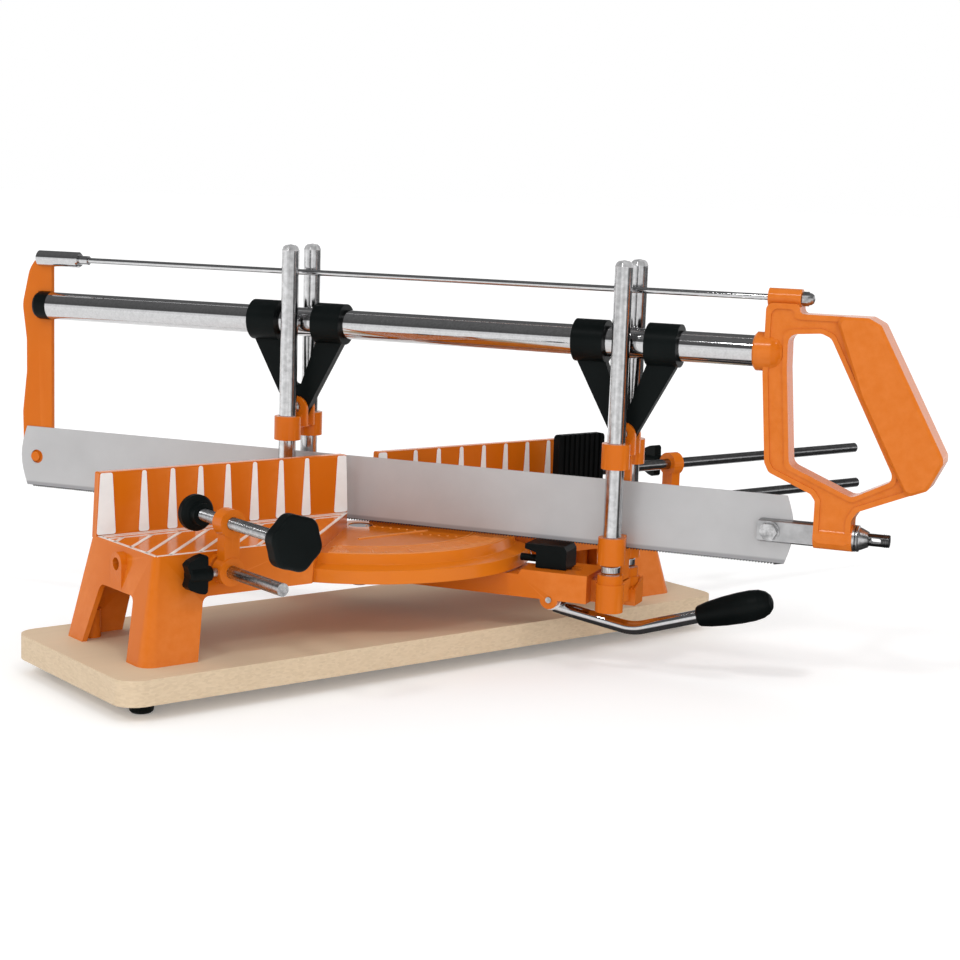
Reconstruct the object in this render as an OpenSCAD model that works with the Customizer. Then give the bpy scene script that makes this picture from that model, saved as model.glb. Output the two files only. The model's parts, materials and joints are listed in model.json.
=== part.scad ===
// Mitre box saw on a board, in millimetres.
// Modules are drawn about the swivel pivot: X along the fence, Y to the back, Z up from the bench.
// Parts of the saw are drawn along their own X, which runs from the tip of the saw to its handle.

/* [Board] */
// length of the board
board_len = 484; // [440:1:540]
// depth of the board
board_depth = 150; // [135:1:180]
// thickness of the board
board_t = 16; // [12:0.5:25]
// how far the board reaches behind the fence face
board_back = 37; // [20:1:60]
// corner radius of the board
board_r = 14; // [4:1:30]
// height of the feet
foot_h = 10; // [6:0.5:16]
// diameter of the feet
foot_d = 17; // [12:0.5:26]
// distance of the feet from the board edges
foot_inset = 24; // [20:1:40]

/* [Tables] */
// height of the tables over the board
table_h = 64.3; // [58:0.1:76]
// length over both tables
table_len = 406; // [390:1:420]
// depth of the tables in front of the fence
table_depth = 77; // [72:0.5:84]
// wall of the tables
wall = 3.5; // [3:0.1:5]
// height of the fences over the tables
fence_h = 40.6; // [30:0.1:60]
// thickness of the fences
fence_t = 5.5; // [4:0.1:8]
// gap between the fences for the blade
fence_gap = 25; // [20:0.5:32]
// how far the legs splay at the ends
end_splay = 15; // [8:0.5:18]
// how far the legs splay at the front
front_splay = 14; // [8:0.5:18]
// how far the legs splay at the back
rear_splay = 4.5; // [2:0.5:8]
// height of the arches between the legs
arch_h = 38; // [34:0.1:40]
// width of the legs along the front
leg_w = 37; // [30:1:50]
// width of the front legs along the ends
leg_side_w = 21.5; // [18:0.5:30]
// width of the rear legs along the ends
rear_leg_w = 20.5; // [16:0.5:26]
// pitch of the fence ribs
rib_pitch = 20.6; // [18:0.1:22]
// height that the ribs stand out from the fence
rib_proud = 0.6; // [0.4:0.1:1.2]

/* [Scale plate] */
// outer radius of the half-round plate
disc_r = 120; // [114:0.5:122]
// radius of its raised top
disc_top_r = 107; // [98:0.5:109]
// drop of the plate top under the tables
disc_drop = 9.8; // [9:0.1:12]
// height of the plate with its rim
disc_t = 17; // [15:0.5:20]

/* [Swivel arm] */
// angle of the saw to the square cut
saw_angle = 30; // [-30:1:44]
// width of the arm
arm_w = 40; // [34:0.5:44]
// height of the arm under the plate
arm_h = 15.2; // [12:0.1:18]
// gap between the plate and the arm
arm_clear = 1; // [0.6:0.1:2]
// diameter of the pivot bolt
pivot_d = 10; // [8:0.5:12]
// diameter of the posts
post_d = 12; // [10:0.5:13]
// sideways distance of the posts from the blade
post_offset = 16.5; // [16.5:0.1:20]
// distance of the front posts from the pivot
front_post = 189; // [186:0.5:200]
// distance of the rear posts from the pivot
rear_post = 50; // [45:0.5:58]
// height of the post tops over the tables
post_rise = 183; // [176:0.5:240]

/* [Saw frame] */
// length of the blade
blade_len = 586; // [580:1:592]
// reach of the blade beyond the front posts
blade_over = 115.5; // [110:0.5:130]
// height of the blade
blade_h = 45.4; // [40:0.1:50]
// thickness of the blade
blade_t = 1; // [0.7:0.1:1.2]
// pitch of the teeth
tooth_pitch = 2; // [1.6:0.1:3]
// depth of the teeth under the table tops
teeth_drop = 7; // [5:0.1:7.6]
// diameter of the tube
tube_d = 20; // [18:0.5:20.5]
// height of the tube axis over the teeth
tube_rise = 136.2; // [132:0.1:145]
// diameter of the tension rod
rod_d = 4; // [3:0.5:5]
// height of the tension rod over the tube axis
rod_rise = 34.4; // [32:0.1:38]
// thickness of the tip arm
tip_t = 4; // [3:0.5:4.5]
// half thickness of the handle grip
grip_half = 13; // [11:0.5:16]

/* [Sliders] */
// outer diameter of the collars on the posts
collar_d = 18.5; // [17:0.1:20]
// height of the slider collars
collar_h = 16.5; // [14:0.5:20]
// height of the sliders over the back of the blade
slider_rise = 9.8; // [8:0.1:12]
// outer diameter of the rings on the tube
ring_d = 28; // [26:0.5:30]
// length over both rings of a guide
ring_span = 71; // [68:1:80]
// length of one ring
ring_len = 21.5; // [18:0.5:24]
// thickness of the guide foot between the ears
v_t = 7; // [6:0.5:9]

/* [Clamp and stop] */
// diameter of the plain rods
bar_d = 8; // [6:0.5:9]
// distance between the two bosses of a bracket
boss_pitch = 30; // [27:0.5:36]
// outer diameter of the bosses
boss_d = 17.5; // [16:0.5:20]
// distance of the clamp from the pivot
clamp_x = 160; // [150:1:170]
// place of the clamp bracket in front of the fence
clamp_y = 90; // [90:1:105]
// reach of the clamp rod in front of the fence
clamp_reach = 152; // [140:1:160]
// distance of the clamp pad face from the fence
pad_gap = 47; // [30:1:60]
// diameter of the star knob
knob_d = 35; // [28:0.5:38]
// distance of the stop rods in front of the fence
stop_y = 28; // [26:0.5:32]
// distance of the spare rail socket in front of the fence
spare_y = 38; // [30:0.5:44]
// outer end of the stop rail
rail_end = 490; // [420:1:520]
// place of the stop bracket along the rail
stop_x = 272; // [250:1:330]
// outer end of the stop rod
stop_end = 485; // [420:1:500]
// inner face of the stop block
block_x = 146; // [130:1:150]
// width of the stop block
block_w = 44; // [36:0.5:48]
// height of the stop block
block_h = 45; // [36:0.5:50]

/* [Hidden] */
$fn = 64;
eps = 0.01;
// clearance of a running fit, and of a part fixed in its hole
run_fit = 0.06;
fix_fit = 0.03;
// gap between flat faces that slide on each other
slide_gap = 0.3;
board_z = foot_h + board_t;
table_z = board_z + table_h;
arch_z = board_z + arch_h;
disc_z = table_z - disc_drop;
rim_z = disc_z - disc_t;
half_table = table_len / 2;
arm_top = rim_z - arm_clear;
arm_z = arm_top - arm_h;
// outside the rim the arm rises to carry the latch
latch_in = disc_r + 6.5;
arm_step = disc_r + 8;
arm_raise = 3.5;
deck_z = arm_top + arm_raise;
arm_end = front_post - 15;
cross_z = arm_z - 3.6;
teeth_z = table_z - teeth_drop;
back_z = teeth_z + blade_h;
tube_z = teeth_z + tube_rise;
rod_z = tube_z + rod_rise;
post_top = table_z + post_rise;
collar_z = back_z + slider_rise;
ear_z = collar_z + 22;
// places along the saw, from its tip to its handle
blade_tip = front_post + blade_over - blade_len;
tip_in = blade_tip + 26;
tip_pin = [blade_tip + 13.6, teeth_z + 23];
bolt_s = blade_tip + blade_len - 14.5;
strap_z = teeth_z + 22.2;
strap_end = blade_tip + blade_len + 14;
bar_s = bolt_s - 9.5;
strap_seat = 62.5;
stud_reach = 85;
cap_s = blade_tip + 14.7;
tube_s = blade_tip + 27;
bar_z = table_z - 10.3;
upper_z = bar_z + boss_pitch;
// reach of the whole object for the common frame
x_lo = -board_len / 2;
x_hi = max(rail_end, stop_end);
handle_reach = bar_s + 116;
swing = [sin(saw_angle), -cos(saw_angle)];
side = [cos(saw_angle), sin(saw_angle)];
// corners of the object that set its box: grip edge in front, blade tip and tip arm behind
grip_low = handle_reach * swing[1] - (grip_half - 4) * side[1];
tip_back = blade_tip * swing[1] + (blade_t / 2 + 0.1 + tip_t) * side[1];
shift = [-(x_lo + x_hi) / 2, -(grip_low + tip_back) / 2, 0];

orange = [0.93, 0.42, 0.08];
black = [0.08, 0.08, 0.08];
steel = [0.78, 0.79, 0.8];

// unit vector, and left normal of the edge from a to b
function unit(v) = v / norm(v);
function normal(a, b) = let (d = unit(b - a)) [-d[1], d[0]];
// outline moved inwards by d, for a list of points that runs counter-clockwise
function inset(p, d) = let (n = len(p)) [for (i = [0:n - 1])
    let (n1 = normal(p[(i + n - 1) % n], p[i]), n2 = normal(p[i], p[(i + 1) % n]))
    p[i] + d * (n1 + n2) / (1 + n1 * n2)];
// one corner replaced by an arc of radius r
function arc(a, b, c, r, k) = let (
    u = unit(a - b), v = unit(c - b), w = acos(u * v),
    q = min(r, 0.48 * min(norm(a - b), norm(c - b)) * tan(w / 2)),
    m = b + unit(u + v) * q / sin(w / 2),
    s = b + u * q / tan(w / 2) - m, e = b + v * q / tan(w / 2) - m,
    a0 = atan2(s[1], s[0]), da = (atan2(e[1], e[0]) - a0 + 540) % 360 - 180)
    [for (i = [0:k]) m + q * [cos(a0 + da * i / k), sin(a0 + da * i / k)]];
function rounded(p, r, k = 5) = let (n = len(p)) [for (i = [0:n - 1])
    each arc(p[(i + n - 1) % n], p[i], p[(i + 1) % n], r, k)];

// frame of the saw, and frame of the base
module saw_frame() translate(shift) rotate([0, 0, saw_angle - 90]) children();
module base_frame() translate(shift) children();
// profile in X and Z, extruded along Y from a to b
module side_profile(a, b) translate([0, b, 0]) rotate([90, 0, 0]) linear_extrude(b - a) children();
module bar_x(d, a, b) translate([a, 0, 0]) rotate([0, 90, 0]) cylinder(d = d, h = b - a);
module bar_y(d, a, b) translate([0, b, 0]) rotate([90, 0, 0]) cylinder(d = d, h = b - a);
// children as drawn for e = 1, mirrored to the left for e = -1
module to_side(e) mirror([e < 0 ? 1 : 0, 0, 0]) children();
module both_ends() for (e = [-1, 1]) to_side(e) children();
module both_ways() for (e = [0, 1]) rotate([180 * e, 0, 0]) children();
module both_sides(y) for (e = [-1, 1]) translate([0, e * y, 0]) children();
module rect(a, b, r) polygon(rounded([a, [b[0], a[1]], b, [a[0], b[1]]], r));
// revolved about X, from a half profile of [x, radius] points
module turn_x(p) rotate([90, 0, 90]) rotate_extrude() polygon([for (q = p) [q[1], q[0]]]);

// board
screw_x = half_table + end_splay - 12;
front_screw_y = -(table_depth + front_splay - 12);
rear_screw_y = fence_t + rear_splay - 10;
screw_places = [for (x = [-1, 1], y = [front_screw_y, rear_screw_y]) [x * screw_x, y]];
screw_d = 4;
screw_bite = 14;
screw_head = 9;

module board() base_frame() color([0.86, 0.8, 0.68]) difference() {
    translate([0, 0, foot_h]) linear_extrude(board_t)
        rect([-board_len / 2, board_back - board_depth], [board_len / 2, board_back], board_r);
    for (p = screw_places) translate([p[0], p[1], foot_h - 1]) {
        cylinder(d = screw_d + 0.6, h = board_t + 2);
        cylinder(d = screw_head + 1, h = 5);
    }
}

module rubber_feet() base_frame() color(black)
    for (x = [-1, 1], y = [board_back - board_depth + foot_inset, board_back - foot_inset])
        translate([x * (board_len / 2 - foot_inset), y, 0]) rotate_extrude()
            polygon([[0, 0], [foot_d / 2 - 2.5, 0], [foot_d / 2 - 1.2, 1.2], [foot_d / 2, foot_h],
                [0, foot_h]]);

module base_screws() base_frame() color(steel) for (p = screw_places) translate([p[0], p[1], foot_h]) {
    translate([0, 0, 1]) cylinder(d = screw_head, h = 3);
    cylinder(d = screw_d, h = board_t + screw_bite);
}

// tables: reach of their sloping walls at height z
function splay(z) = (table_z - z) / table_h;
function end_at(z) = half_table + end_splay * splay(z);
function front_at(z) = -table_depth - front_splay * splay(z);
function rear_at(z) = fence_t + rear_splay * splay(z);

// one level of the sloping block, moved inwards by d: soft front corners, nearly sharp rear ones
module block_level(z, d) translate([0, 0, z]) linear_extrude(eps) {
    rect([-end_at(z) + d, front_at(z) + d], [end_at(z) - d, rear_at(z) - d - 12], 4 + 5 * splay(z));
    rect([-end_at(z) + d, rear_at(z) - d - 12], [end_at(z) - d, rear_at(z) - d], 2);
}
module table_block(d, top) hull() {
    block_level(board_z - (d > 0 ? 1 : 0), d);
    block_level(top - eps, d);
}

// the open wedge over the scale plate, between the two tables
notch_x = fence_gap / 2 - 1;
module notch(d, z0, z1) translate([0, 0, z0]) linear_extrude(z1 - z0)
    polygon([[-notch_x - d, 20], [-notch_x - d, 0], [-notch_x - d - 120, -120], [notch_x + d + 120, -120],
        [notch_x + d, 0], [notch_x + d, 20]]);

// openings between the legs, through the long walls and through the end walls
leg_x = half_table + end_splay - leg_w;
leg_y = front_at(board_z) + leg_side_w;
rear_leg_y = rear_at(board_z) - rear_leg_w;
leg_slant = 8;
module arches() {
    side_profile(-200, 120) polygon(rounded([[-leg_x - 4, board_z - 20], [leg_x + 4, board_z - 20],
        [leg_x - leg_slant, arch_z], [-leg_x + leg_slant, arch_z]], 5));
    rotate([90, 0, 90]) translate([0, 0, -300]) linear_extrude(600)
        polygon(rounded([[leg_y - 4, board_z - 20], [rear_leg_y + 4, board_z - 20],
            [rear_leg_y - leg_slant, arch_z], [leg_y + leg_slant, arch_z]], 5));
}

// half-round plate with a stepped rim and a hub
disc_plate = 4;
hub_r = pivot_d / 2 + 13;
rim_step = rim_z + 8.5;
module half_turn() rotate([0, 0, 180]) rotate_extrude(angle = 180) children();
module scale_plate() base_frame() color(orange) difference() {
    union() {
        half_turn() polygon([[0, disc_z], [disc_top_r, disc_z], [disc_top_r + 2, disc_z - 6.5],
            [disc_r - 1.5, rim_step], [disc_r, rim_z], [disc_r - 4, rim_z], [disc_r - 5, rim_z + 5],
            [disc_top_r - 3, rim_z + 6], [disc_top_r - 4, disc_z - disc_plate], [0, disc_z - disc_plate]]);
        translate([0, 0, rim_z]) cylinder(r = hub_r, h = disc_t);
    }
    translate([0, 0, rim_z - 1]) cylinder(d = pivot_d + 2 * fix_fit, h = disc_t + 2);
    translate([0, 0, disc_z - 4.5]) cylinder(d = pivot_d + 7, h = 6);
}

// room that the tables leave for the plate
plate_fit = 0.1;
module plate_room() {
    half_turn() polygon([[0, 0], [disc_r + plate_fit, 0], [disc_r + plate_fit, rim_z],
        [disc_r - 1.5 + plate_fit, rim_step + plate_fit],
        [disc_top_r + 2 + plate_fit, disc_z - 6.5 + plate_fit], [disc_top_r + plate_fit, disc_z],
        [0, disc_z]]);
    cylinder(r = hub_r + plate_fit, h = disc_z);
}

// raised rib on the fence face, wider at its foot
module fence_rib(x, top_w, foot_w) translate([x, 0, 0]) side_profile(-rib_proud, eps)
    polygon(rounded([[-foot_w / 2, table_z + 0.7], [foot_w / 2, table_z + 0.7],
        [top_w / 2, table_z + fence_h - 0.5], [-top_w / 2, table_z + fence_h - 0.5]], 1.4));

rib_start = fence_gap / 2 + 33.3;
rib_count = floor((half_table - 22 - rib_start) / rib_pitch);
module fence() {
    side_profile(0, fence_t) polygon(rounded([[notch_x, table_z - 2], [half_table, table_z - 2],
        [half_table - 2, table_z + fence_h], [fence_gap / 2 + 1, table_z + fence_h]], 1.2));
    fence_rib(fence_gap / 2 + 4.8, 7, 11);
    fence_rib(half_table - 6.9, 8.4, 13.2);
    for (i = [0:rib_count]) fence_rib(rib_start + i * rib_pitch, 3, 7.4);
}

// sockets for the plain rods: a D-shaped boss in each end wall, a round one in the front wall
socket_end = end_at(bar_z) + 3.5;
socket_front = front_at(bar_z) - 2.5;
socket_depth = 22;
module end_socket() {
    bar_x(boss_d - 3, socket_end - socket_depth, socket_end);
    translate([socket_end - socket_depth, -boss_d / 2 + 1.5, arch_z - bar_z])
        cube([socket_depth, boss_d - 3, bar_z - arch_z]);
}

// one table with its fence, legs and sockets: e is -1 for the left one and 1 for the right one
module table(e, rail_y) {
    own_screws = [for (p = screw_places) if (p[0] * e > 0) p];
    base_frame() color(orange) difference() {
        union() {
            intersection() {
                union() {
                    difference() {
                        table_block(0, table_z);
                        table_block(wall, table_z - wall);
                        arches();
                        notch(0, 0, table_z + 1);
                    }
                    // wall along the notch, which stands on the scale plate
                    intersection() {
                        difference() {
                            notch(wall, rim_z, table_z);
                            notch(0, 0, table_z + 1);
                        }
                        translate([-half_table, -table_depth, 0])
                            cube([table_len, table_depth + fence_t, table_z]);
                    }
                }
                to_side(e) translate([0, -200, 0]) cube([400, 400, 300]);
            }
            to_side(e) fence();
            to_side(e) translate([0, -rail_y, bar_z]) end_socket();
            translate([e * clamp_x, 0, bar_z]) bar_y(boss_d, socket_front, socket_front + socket_depth);
            for (p = own_screws) translate([p[0], p[1], board_z])
                cylinder(d = screw_d + 8, h = screw_bite + 4);
        }
        plate_room();
        to_side(e) translate([0, -rail_y, bar_z])
            bar_x(bar_d + 2 * fix_fit, socket_end - socket_depth + 3, socket_end + 9);
        translate([e * clamp_x, 0, bar_z])
            bar_y(bar_d + 2 * fix_fit, socket_front - 9, socket_front + socket_depth - 3);
        for (p = own_screws) translate([p[0], p[1], board_z - 1])
            cylinder(d = screw_d + 2 * fix_fit, h = screw_bite + 3);
    }
}
module left_table() table(-1, spare_y);
module right_table() table(1, stop_y);

// pivot bolt with its head sunk in the hub, and the nut under the arm
nut_h = 6;
module pivot_bolt() base_frame() color(steel) {
    translate([0, 0, disc_z - 4.5]) cylinder(d = pivot_d + 6, h = 4);
    translate([0, 0, arm_z - nut_h - 3]) cylinder(d = pivot_d, h = disc_z - 1 - arm_z + nut_h + 3);
}

module pivot_nut() base_frame() color(steel) translate([0, 0, arm_z - slide_gap - nut_h]) difference() {
    union() {
        cylinder(d = pivot_d * 1.85, h = nut_h - 1.5, $fn = 6);
        cylinder(d = pivot_d * 2, h = 1.5 + eps);
        translate([0, 0, nut_h - 1.5]) cylinder(d = pivot_d * 2, h = 1.5);
    }
    translate([0, 0, -1]) cylinder(d = pivot_d + 2 * fix_fit, h = nut_h + 2);
}

// swivel arm: channel under the plate, raised deck for the latch, a cross-piece with two bosses at each end
post_boss = post_d + 6.4;
arm_wall = 4;
lug = [disc_r + 28, arm_z];
lug_r = 6.2;
lever_pin_d = 4;
slot_w = 8;

module cross_piece(s) translate([s, 0, 0]) {
    both_sides(post_offset) {
        translate([0, 0, cross_z]) cylinder(d = post_boss, h = arm_top - cross_z);
        translate([0, 0, cross_z]) cylinder(d = post_boss - 1.4, h = arm_top + 5.9 - cross_z);
    }
    translate([-6, -post_offset, arm_z]) cube([12, 2 * post_offset, arm_h - 0.5]);
}

// ribbed step block on the far front boss, its top sloping up to the back
step_len = 10.5;
module step_wedge(s, length, up) translate([front_post + s, 0, 0]) rotate([90, 0, 90]) linear_extrude(length)
    polygon([[post_offset - 9, cross_z], [post_offset + 8, cross_z], [post_offset + 8, arm_top - 2 + up],
        [post_offset - 9, arm_top - 8 + up]]);
module step_block() {
    step_wedge(0, step_len, 0);
    for (i = [0:3]) step_wedge(2.2 + 2.4 * i, 1, 0.9);
}

// side view of the arm from s0 on and down to z0, stepped up at s1, with its other edges moved inwards by d
module arm_side(s0, z0, s1, d) polygon([[s0, z0], [arm_end - d, z0], [arm_end - d, deck_z - d],
    [s1, deck_z - d], [s1 - 2, arm_top - d], [s0, arm_top - d]]);

module swivel_arm() saw_frame() color(orange) difference() {
    union() {
        translate([0, 0, arm_z]) cylinder(d = arm_w, h = arm_h);
        difference() {
            side_profile(-arm_w / 2, arm_w / 2) arm_side(0, arm_z, arm_step, 0);
            side_profile(-arm_w / 2 + arm_wall, arm_w / 2 - arm_wall)
                arm_side(arm_w / 2 + arm_wall, arm_z - 1, arm_step + 20, arm_wall);
        }
        translate([arm_end - 1, -arm_w / 4, arm_z]) cube([front_post - arm_end, arm_w / 2, arm_h - 0.5]);
        translate([-rear_post, -arm_w * 0.35, arm_z]) cube([rear_post, arm_w * 0.7, arm_h]);
        both_sides(arm_w / 2 - arm_wall / 2) translate([lug[0], 0, lug[1]])
            bar_y(2 * lug_r, -arm_wall / 2, arm_wall / 2);
        cross_piece(front_post);
        cross_piece(-rear_post);
        step_block();
    }
    translate([0, 0, arm_z - 1]) cylinder(d = pivot_d + 2 * run_fit, h = arm_h + 2);
    for (s = [front_post, -rear_post]) translate([s, 0, 0]) both_sides(post_offset)
        translate([0, 0, cross_z + 2]) cylinder(d = post_d + 2 * fix_fit, h = 60);
    translate([lug[0], 0, lug[1]]) bar_y(lever_pin_d + 2 * fix_fit, -arm_w, arm_w);
    // corner of the deck that would meet the front wall of the right table
    translate([0, 0, arm_top]) linear_extrude(20)
        polygon([[arm_step - 4, -2], [arm_step + 17, arm_w / 2 + 1], [arm_step - 4, arm_w / 2 + 1]]);
    // slot that guides the tongue of the latch
    translate([latch_in + 22, -slot_w / 2 - slide_gap, arm_z + 8.5])
        cube([15.5, slot_w + 2 * slide_gap, arm_h]);
}

module guide_posts() saw_frame() color(steel) for (s = [front_post, -rear_post]) translate([s, 0, 0])
    both_sides(post_offset) rotate_extrude() polygon([[0, cross_z + 2.2], [post_d / 2 - 0.5, cross_z + 2.2],
        [post_d / 2, cross_z + 2.7], [post_d / 2, post_top - 4], [post_d / 2 - 0.9, post_top - 1.8],
        [post_d / 2 - 2.6, post_top - 0.5], [0, post_top]]);

// bracket low on a post pair, with the slot that the blade dips into
guide_z = teeth_z - 8;
guide_h = 17.8;
guide_foot = post_offset - post_boss / 2 + 0.4;
module blade_guide(s) translate([s, 0, 0]) difference() {
    union() {
        both_sides(post_offset) translate([0, 0, guide_z]) cylinder(d = collar_d - 0.5, h = guide_h);
        translate([-5.2, 7.5 - post_offset, guide_z]) cube([10.4, 2 * post_offset - 15, guide_h]);
        translate([-5.2, -guide_foot, arm_top + 0.2]) cube([10.4, 2 * guide_foot, guide_z - arm_top]);
    }
    both_sides(post_offset) translate([0, 0, guide_z - 1])
        cylinder(d = post_d + 2 * fix_fit, h = guide_h + 2);
    translate([-20, -blade_t / 2 - 0.5, teeth_z - 1.5]) cube([40, blade_t + 1, guide_h + 9]);
}

module blade_guides() saw_frame() color(orange) {
    blade_guide(front_post);
    blade_guide(-rear_post);
}

// black thumb block that pulls the index pin out of the scale
latch_top = teeth_z - 1.3;
latch_out = latch_in + 29.5;
latch_half = 10.5;
latch_low = deck_z + slide_gap;
module index_latch() saw_frame() color(black) difference() {
    union() {
        side_profile(-latch_half, latch_half) polygon(rounded([[latch_in + 8, latch_low],
            [latch_out, latch_low], [latch_out, latch_top - 3], [latch_out - 2, latch_top],
            [latch_in, latch_top], [latch_in, latch_top - 3.5], [latch_in + 8, latch_top - 5.5]], 0.8));
        translate([latch_in + 23, -slot_w / 2, deck_z - 6]) cube([6, slot_w, 8]);
    }
    translate([0, 0, deck_z + 4.5]) bar_x(5 + 2 * fix_fit, latch_in - 9, latch_in + 22);
}

module latch_pin() saw_frame() color(steel) translate([0, 0, deck_z + 4.5])
    bar_x(5, disc_r + 0.5, latch_in + 21.5);

// lever: hub on the lug pin, then two straight legs joined by a bend
lever_d = 9;
bend_r = 30;
dip = 9.5;
climb = 17.5;
leg_a = [lug[0] - 2, lug[1] - 8.2];
leg_len = 49;
bend_a = leg_a + leg_len * [cos(dip), -sin(dip)];
bend_m = bend_a + bend_r * [sin(dip), cos(dip)];
bend_b = bend_m + bend_r * [sin(climb), -cos(climb)];
neck_len = 38.8;
grip_a = bend_b + neck_len * [cos(climb), sin(climb)];
grip_len = 51;

module lock_lever() saw_frame() color(steel) difference() {
    union() {
        translate([lug[0], 0, lug[1]])
            bar_y(15, -arm_w / 2 + arm_wall + slide_gap, arm_w / 2 - arm_wall - slide_gap);
        translate([lug[0] - 24, -6, lug[1] - 2.5]) cube([24, 12, 5]);
        translate([leg_a[0], 0, leg_a[1]]) rotate([0, 90 + dip, 0]) cylinder(d = lever_d, h = leg_len + 1);
        translate([bend_m[0], 0, bend_m[1]]) rotate([90, 0, 0]) rotate([0, 0, 270 - dip])
            rotate_extrude(angle = dip + climb) translate([bend_r, 0]) circle(d = lever_d + 0.1);
        translate([bend_b[0], 0, bend_b[1]]) rotate([0, 90 - climb, 0]) translate([0, 0, -1])
            cylinder(d = lever_d, h = neck_len + 37);
    }
    translate([lug[0], 0, lug[1]]) bar_y(lever_pin_d + 2 * run_fit, -arm_w, arm_w);
}

module at_grip() saw_frame() translate([grip_a[0], 0, grip_a[1]]) rotate([0, 90 - climb, 0]) children();
module lever_grip() at_grip() color(black) difference() {
    rotate_extrude() polygon([[0, 0], [6.2, 0], [6.9, 1], [8.4, 8], [9.6, 18], [10.2, 28], [10.2, 37],
        [9.4, 43], [7.6, 47.2], [5, 49.8], [2.4, grip_len - 0.25], [0, grip_len]]);
    translate([0, 0, -1]) cylinder(d = lever_d + 2 * fix_fit, h = 37.5);
}

module lever_pin() saw_frame() color(steel) translate([lug[0], 0, lug[1]])
    bar_y(lever_pin_d, -arm_w / 2 - 0.8, arm_w / 2 + 0.8);

// slider on a post pair: two collars, a bridge, and two ears for the foot of the V guide
ear_r = 9.5;
ear_t = 3;
ear_in = v_t / 2 + 0.2;
screw_m = 5;
module slider(s) translate([s, 0, 0]) difference() {
    union() {
        both_sides(post_offset) translate([0, 0, collar_z]) cylinder(d = collar_d, h = collar_h);
        translate([-6, -post_offset, collar_z + 7.5]) cube([12, 2 * post_offset, collar_h - 7.5]);
        both_sides(ear_in + ear_t / 2) {
            translate([0, 0, ear_z - 2]) bar_y(2 * ear_r, -ear_t / 2, ear_t / 2);
            translate([-ear_r, -ear_t / 2, collar_z + 8.5]) cube([2 * ear_r, ear_t, ear_z - collar_z - 10.5]);
        }
    }
    both_sides(post_offset) translate([0, 0, collar_z - 1])
        cylinder(d = post_d + 2 * run_fit, h = collar_h + 2);
    translate([0, 0, ear_z]) bar_y(screw_m + 2 * fix_fit, -20, 20);
    // seat for the foot of the V guide
    translate([-20, -ear_in, ear_z - v_foot_r - 0.2]) cube([40, 2 * ear_in, 40]);
}

module rear_slider() saw_frame() color(orange) slider(-rear_post);

module front_slider() saw_frame() color(orange) {
    slider(front_post);
    // short tongue beside the blade
    translate([front_post - 2, blade_t / 2 + 0.9, back_z - 2.5]) cube([7, 4, collar_z + 9 - back_z + 2.5]);
}

// V-shaped guide: two rings on the tube, two flat arms and a foot on the cross screw
v_foot_r = 7.6;
ring_in = ring_span / 2 - ring_len;
module v_guide(s) translate([s, 0, 0]) difference() {
    union() {
        both_ends() {
            translate([0, 0, tube_z]) bar_x(ring_d, ring_in, ring_span / 2);
            side_profile(-v_t / 2, v_t / 2) polygon([[0, ear_z - 6], [6, ear_z - 6],
                [ring_span / 2, tube_z - 10], [ring_span / 2, tube_z], [ring_in, tube_z],
                [ring_in, tube_z - 13], [3, ear_z + 16], [0, ear_z + 15]]);
        }
        translate([0, 0, ear_z]) bar_y(2 * v_foot_r, -v_t / 2, v_t / 2);
    }
    translate([0, 0, tube_z]) bar_x(tube_d + 2 * run_fit, -ring_span, ring_span);
    translate([0, 0, ear_z]) bar_y(screw_m + 2 * fix_fit, -20, 20);
}

module rear_v_guide() saw_frame() color(black) v_guide(-rear_post);
module front_v_guide() saw_frame() color(black) v_guide(front_post);

// cross screw with a round head on the near side and a nut on the far side
module guide_screw(s) translate([s, 0, ear_z]) {
    bar_y(screw_m, -ear_in - ear_t - 1, ear_in + ear_t + 1);
    translate([0, -ear_in - ear_t, 0]) rotate([90, 0, 0]) rotate_extrude()
        polygon([[0, 0], [4.5, 0], [4.2, 1.6], [2.8, 2.8], [0, 3.2]]);
    translate([0, ear_in + ear_t + 3.5, 0]) rotate([90, 0, 0]) cylinder(d = 9.2, h = 3.5, $fn = 6);
}

module rear_guide_screw() saw_frame() color(steel) guide_screw(-rear_post);
module front_guide_screw() saw_frame() color(steel) guide_screw(front_post);

// saw frame: tube with its cap, tip arm, tension rod
tube_end = bar_s + 3.5;
tube_wall = 1.5;
module frame_tube() saw_frame() color(steel) translate([0, 0, tube_z]) difference() {
    bar_x(tube_d, tube_s, tube_end);
    bar_x(tube_d - 2 * tube_wall, tube_s - 1, tube_end + 1);
}

module tube_cap() saw_frame() color(black) translate([0, 0, tube_z]) {
    turn_x([[cap_s, 0], [cap_s, tube_d / 2 - 2.5], [cap_s + 0.8, tube_d / 2 - 0.8], [cap_s + 2.5, tube_d / 2],
        [tube_s - fix_fit, tube_d / 2], [tube_s - fix_fit, 0]]);
    bar_x(tube_d - 2 * tube_wall - 2 * fix_fit, tube_s - 1, tube_s + 9);
}

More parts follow.
